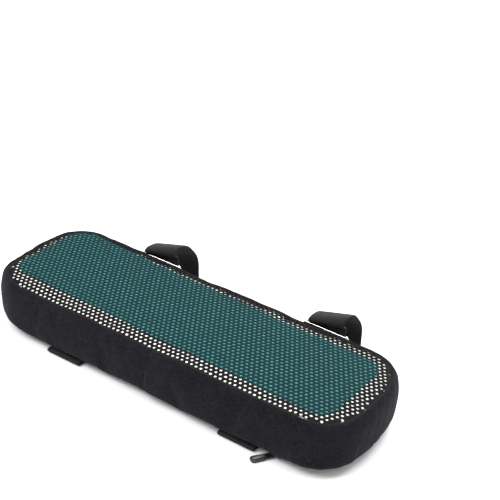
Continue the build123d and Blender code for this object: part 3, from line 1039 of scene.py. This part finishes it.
def pull_solid(name, rings):
    """A solid on the pull; each ring has its shares of the outline's length and width, and a height."""
    low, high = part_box("zipper_pull_grip")
    swing = joint("pull_swing")
    axis = Vector(swing["axis"]).normalized()
    heading = axis.cross(Vector((0, 0, 1)))
    middle = Vector(swing["pos_m"]) + heading * (GRIP_START + GRIP_LENGTH / 2)
    vertices = []
    for length_share, width_share, height in rings:
        for step in range(GRIP_POINTS):
            angle = 2 * pi * step / GRIP_POINTS
            along = np.sign(cos(angle)) * abs(cos(angle)) ** 0.42
            across = np.sign(sin(angle)) * abs(sin(angle)) ** 0.55 * (2.25 + 0.25 * along) * MM
            place = middle + heading * (GRIP_LENGTH / 2 * along * length_share)
            place += axis * (across * width_share)
            vertices.append((place.x, place.y, (low.z + high.z) / 2 + height * MM))
    faces = grid_faces(len(rings), GRIP_POINTS) + end_caps(len(rings), GRIP_POINTS)
    return outward(new_mesh(name, vertices, faces))


def make_pull_grip():
    """The moulded grip, rounded and a little wider at the tip, with a raised inlay on both faces."""
    rings = []
    for width, height in GRIP_PROFILE:
        shrink = (1 - width) * GRIP_HALF_WIDTH
        rings.append((1 - shrink / (GRIP_LENGTH / 2), width, height))
    finish_piece(pull_solid("pull_grip", rings), GRIP, ["zipper_pull_grip"], "pull")
    rings = [(width + INLAY_EXTRA_LENGTH, width, height) for width, height in INLAY_PROFILE]
    finish_piece(pull_solid("pull_inlay", rings), INLAY, (), "pull")


# ---------------- straps and tabs
def filleted(points, radii, step):
    """A route of straight runs and arcs, as points about a step apart."""
    points = [np.array(p, float) for p in points]
    route = [points[0]]
    for before, corner, after, radius in zip(points, points[1:], points[2:], radii):
        back = (before - corner) / np.linalg.norm(before - corner)
        ahead = (after - corner) / np.linalg.norm(after - corner)
        half = np.arccos(np.clip(back @ ahead, -1, 1)) / 2
        cut = radius / tan(half)
        middle = corner + (back + ahead) / np.linalg.norm(back + ahead) * radius / sin(half)
        start, end = corner + back * cut, corner + ahead * cut
        a0 = atan2(*(start - middle)[::-1])
        turn = (atan2(*(end - middle)[::-1]) - a0 + pi) % (2 * pi) - pi
        arc_steps = max(4, ceil(abs(turn) * radius / step))
        for i in range(arc_steps + 1):
            angle = a0 + turn * i / arc_steps
            route.append(middle + radius * np.array((cos(angle), sin(angle))))
    route.append(points[-1])
    route = np.array(route)
    run = distance_along(route)
    keep = np.concatenate([[True], np.diff(run) > 1e-9])
    route, run = route[keep], run[keep]
    stations = np.linspace(0, run[-1], max(2, int(run[-1] / step)))
    return np.column_stack([np.interp(stations, run, route[:, i]) for i in (0, 1)]), stations


STRAP_WIDTH = 24.0 * MM
STRAP_RIBS = 18
CORD_HEIGHT = 0.055 * MM


def web(name, route, stations, centre_x, thickness, lean=None):
    """Webbing along a route in the YZ plane, with lengthwise cords and rounded edges."""
    columns = STRAP_RIBS * 4
    across = np.linspace(-1, 1, columns + 1)
    tangent = np.gradient(route, axis=0)
    tangent /= np.linalg.norm(tangent, axis=1)[:, None]
    normal = np.column_stack([-tangent[:, 1], tangent[:, 0]])
    edge = np.sqrt(np.clip(1 - np.abs(across) ** 14, 0, 1))
    cords = CORD_HEIGHT * np.cos(across * STRAP_RIBS * pi)
    lean = np.zeros_like(route) if lean is None else lean
    half = thickness / 2 * (0.35 + 0.65 * edge) + cords * edge
    there_and_back = [(1, column) for column in range(columns + 1)]
    there_and_back += [(-1, column) for column in range(columns, -1, -1)]
    vertices = []
    weave = []
    for point, direction, station, sag in zip(route, normal, stations, lean):
        for face_sign, column in there_and_back:
            place = point + direction * face_sign * half[column] + sag * (1 - across[column]) / 2
            vertices.append((centre_x + across[column] * STRAP_WIDTH / 2, *place))
            weave.append((station, across[column] * STRAP_WIDTH / 2, 0.0))
    rows = len(route)
    ring_count = len(there_and_back)
    faces = grid_faces(rows, ring_count) + end_caps(rows, ring_count)
    made = outward(new_mesh(name, vertices, faces))
    attribute = made.data.attributes.new("weave", "FLOAT_VECTOR", "POINT")
    attribute.data.foreach_set("vector", np.array(weave, np.float32).ravel())
    return made


# Routes in the YZ plane in mm, as in the CAD model, and the radii of their corners
STRAP_ROUTE = [
    (52.9, 1.5), (52.9, 11.0), (46.95, 11.0), (46.95, 20.0), (51.05, 20.0), (51.05, 30.5),
    (45.6, 33.6), (49.6, 37.9), (60.5, 35.4), (75.0, 20.5), (78.3, -2.35), (-45.3, -2.35),
    (-45.3, -0.85), (-40.5, -0.85),
]
STRAP_RADII = [1.2, 1.2, 1.2, 1.2, 2.5, 2.0, 4.5, 20.0, 24.0, 4.5, 0.74, 0.74]
TAB_ROUTE = [
    (42.6, 0.1), (45.3, 0.25), (47.05, 2.6), (47.1, 8.6),
    (50.9, 8.6), (50.9, 5.0), (48.3, 2.3), (48.1, 1.3),
]
TAB_RADII = [2.2, 3.0, 1.2, 1.2, 2.0, 0.8]
STRAP_THICKNESS = 1.2 * MM
TAB_THICKNESS = 0.95 * MM
SLOT_TOP_Z = 21.5 * MM
CROWN_DROP = 0.52
GROUND_DROP = 0.22


def loop_lean(route):
    """How far the loop's outer rim sags below its inner one, point by point along the route."""
    y, z = route.T
    over_pad = np.clip(z - SLOT_TOP_Z, 0, None) * CROWN_DROP
    beyond = np.clip(z - route[:, 1].min(), 0, None) * GROUND_DROP
    share = np.clip((y - 56 * MM) / (12 * MM), 0, 1)
    share = share * share * (3 - 2 * share)
    drop = over_pad * (1 - share) + beyond * share
    outward_shift = 0.9 * MM * np.exp(-((y - 46 * MM) / (1.6 * MM)) ** 2) * np.clip(drop / (4 * MM), 0, 1)
    return np.column_stack([outward_shift, -drop])


def make_strap(side):
    """One elastic strap, from its tail through the buckle and round to the sewn fold."""
    low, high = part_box(f"strap_under_{side}")
    centre_x = (low.x + high.x) / 2
    route, stations = filleted(STRAP_ROUTE, STRAP_RADII, 0.9)
    name = f"strap_{side}"
    lean = loop_lean(route * MM)
    strap = web(name, route * MM, stations * MM, centre_x, STRAP_THICKNESS, lean)
    finish_piece(strap, WEBBING, [f"strap_under_{side}", f"strap_loop_{side}"], None)
    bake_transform(strap)
    route, stations = filleted(TAB_ROUTE, TAB_RADII, 0.7)
    tab_name = f"buckle_loop_tab_{side}"
    tab = web(tab_name, route * MM, stations * MM, centre_x, TAB_THICKNESS)
    finish_piece(tab, WEBBING, [f"buckle_tab_{side}"], None)
    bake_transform(tab)


# ---------------- camera, light, floor
# Azimuth, elevation and roll in degrees; place in metres; sensor and lens in millimetres
CAMERA_ANGLES = (29.33, 28.91, 6.83)
CAMERA_PLACE = (0.3141, -0.5021, 0.4060)
SENSOR_WIDTH = 36
LENS = 86.2


def set_camera():
    """The viewing angle: azimuth, elevation and roll about the pad, and a long lens."""
    azimuth, elevation, roll = (radians(angle) for angle in CAMERA_ANGLES)
    back = Vector((sin(azimuth) * cos(elevation), -cos(azimuth) * cos(elevation), sin(elevation)))
    right = (-back).cross(Vector((0, 0, 1))).normalized()
    up = right.cross(-back)
    turned_right = right * cos(roll) + up * sin(roll)
    turned_up = up * cos(roll) - right * sin(roll)
    camera_data = bpy.data.cameras.new("camera")
    camera_data.sensor_width = SENSOR_WIDTH
    camera_data.lens = LENS
    camera_data.clip_start = 0.01
    camera = bpy.data.objects.new("camera", camera_data)
    bpy.context.scene.collection.objects.link(camera)
    pose = Matrix((turned_right, turned_up, back)).transposed().to_4x4()
    pose.translation = Vector(CAMERA_PLACE)
    camera.matrix_world = pose
    bpy.context.scene.camera = camera


def area_light(name, place, size, power, target=(0, 0, 0)):
    """A square soft light that faces its target."""
    light = bpy.data.lights.new(name, "AREA")
    light.size = size
    light.energy = power
    obj = bpy.data.objects.new(name, light)
    obj.location = place
    obj.rotation_euler = (Vector(target) - Vector(place)).to_track_quat("-Z", "Y").to_euler()
    bpy.context.scene.collection.objects.link(obj)


FLOOR_REACH = 3.0


def set_stage():
    """Pale floor, white surroundings and soft lights from the left, above and behind."""
    floor_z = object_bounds()[0][2] - 0.05 * MM
    corners = [(-1, -1), (1, -1), (1, 1), (-1, 1)]
    floor_points = [(x * FLOOR_REACH, y * FLOOR_REACH, floor_z) for x, y in corners]
    floor = new_mesh("floor", floor_points, [(0, 1, 2, 3)])
    paper = material("pale_floor", (0.93, 0.93, 0.93), 0.85)
    two_tone(paper, noise(paper, 8, 2.0), (0.92, 0.92, 0.92), (0.95, 0.95, 0.95))
    floor.data.materials.append(paper)
    world = bpy.data.worlds.new("studio")
    world.use_nodes = True
    world.node_tree.nodes["Background"].inputs["Color"].default_value = (1, 1, 1, 1)
    world.node_tree.nodes["Background"].inputs["Strength"].default_value = 0.95
    bpy.context.scene.world = world
    bpy.context.scene.view_settings.view_transform = "Standard"
    area_light("key", (-0.45, -0.55, 0.85), 0.6, 9.0)
    area_light("top", (0.1, 0.25, 0.95), 0.7, 8.0)
    area_light("rim", (0.10, 0.80, 0.45), 0.5, 3.0, target=(0, 0, 0.02))


# ---------------- assembly
def coat(node, made):
    """Gives a CAD node that stays visible its material."""
    materials = frame["nodes"][node].data.materials
    materials.clear()
    materials.append(made)


set_camera()
make_core()
make_gel()
make_net()
make_boxing("boxing_zip_side", list(range(2 * RIM_PER_QUARTER)), "boxing_zip_half")
make_boxing("boxing_plain_side", list(range(2 * RIM_PER_QUARTER, RIM_COUNT)), "boxing_plain_half")
make_top_welt()
make_bottom_welt()
make_base_panel()
make_grip_dots()
make_coil("zip_coil_outer", 1, "zipper_coil_outer")
make_coil("zip_coil_inner", -1, "zipper_coil_inner")
make_tape("zip_tape_outer", "zipper_tape_outer", 3.7 * MM, 2.4 * MM)
make_tape("zip_tape_inner", "zipper_tape_inner", 8.4 * MM, 6.9 * MM)
make_pull_grip()
for strap_side in ("left", "right"):
    make_strap(strap_side)
    coat(f"slide_buckle_{strap_side}", NICKEL)
for metal_node in ("zipper_slider", "zipper_pull", "zipper_stops"):
    coat(metal_node, ENAMEL)
set_stage()
